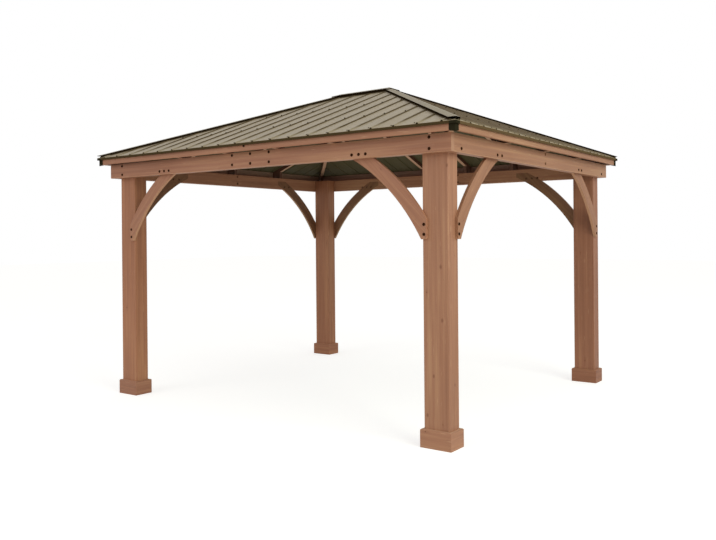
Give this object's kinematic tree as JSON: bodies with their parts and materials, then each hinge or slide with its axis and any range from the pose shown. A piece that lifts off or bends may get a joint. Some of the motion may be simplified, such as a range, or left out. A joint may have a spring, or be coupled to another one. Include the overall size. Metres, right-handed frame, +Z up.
{
  "type": "garden gazebo",
  "caption": "Open timber garden gazebo with boxed posts on collars, bolted beams, curved knee braces and a hipped roof of ribbed sheet metal, for shade over a terrace.",
  "frame": {"origin": "on the ground, midway between the four posts", "axes": "+X along the ridge to the right, +Y to the back, +Z up"},
  "size_m": [4.186, 3.553, 3.1152],
  "materials": {
    "timber": "stained cedar, satin",
    "roof_sheet": "satin taupe coating",
    "roof_cap": "satin taupe coating",
    "dark_trim": "satin dark brown coating"
  },
  "bodies": {
    "root": {"front_left_post_faces": "timber", "front_left_post_cheeks": "timber", "front_right_post_faces": "timber", "front_right_post_cheeks": "timber", "back_right_post_faces": "timber", "back_right_post_cheeks": "timber", "back_left_post_faces": "timber", "back_left_post_cheeks": "timber", "front_left_plinth": "timber", "front_right_plinth": "timber", "back_right_plinth": "timber", "back_left_plinth": "timber", "front_beam": "timber", "back_beam": "timber", "left_beam": "timber", "right_beam": "timber", "front_inner_beam": "timber", "back_inner_beam": "timber", "left_inner_beam": "timber", "right_inner_beam": "timber", "front_braces": "timber", "back_braces": "timber", "left_braces": "timber", "right_braces": "timber", "front_fascia": "timber", "back_fascia": "timber", "left_fascia": "timber", "right_fascia": "timber", "front_eave_trim": "dark_trim", "back_eave_trim": "dark_trim", "left_eave_trim": "dark_trim", "right_eave_trim": "dark_trim", "corner_covers": "dark_trim", "hip_rafters": "timber", "ridge_board": "timber", "front_rafters": "timber", "back_rafters": "timber", "left_rafters": "timber", "right_rafters": "timber", "front_roof_sheet": "roof_sheet", "back_roof_sheet": "roof_sheet", "left_roof_sheet": "roof_sheet", "right_roof_sheet": "roof_sheet", "hip_caps": "roof_cap", "ridge_cap": "roof_cap"}
  },
  "joints": []
}
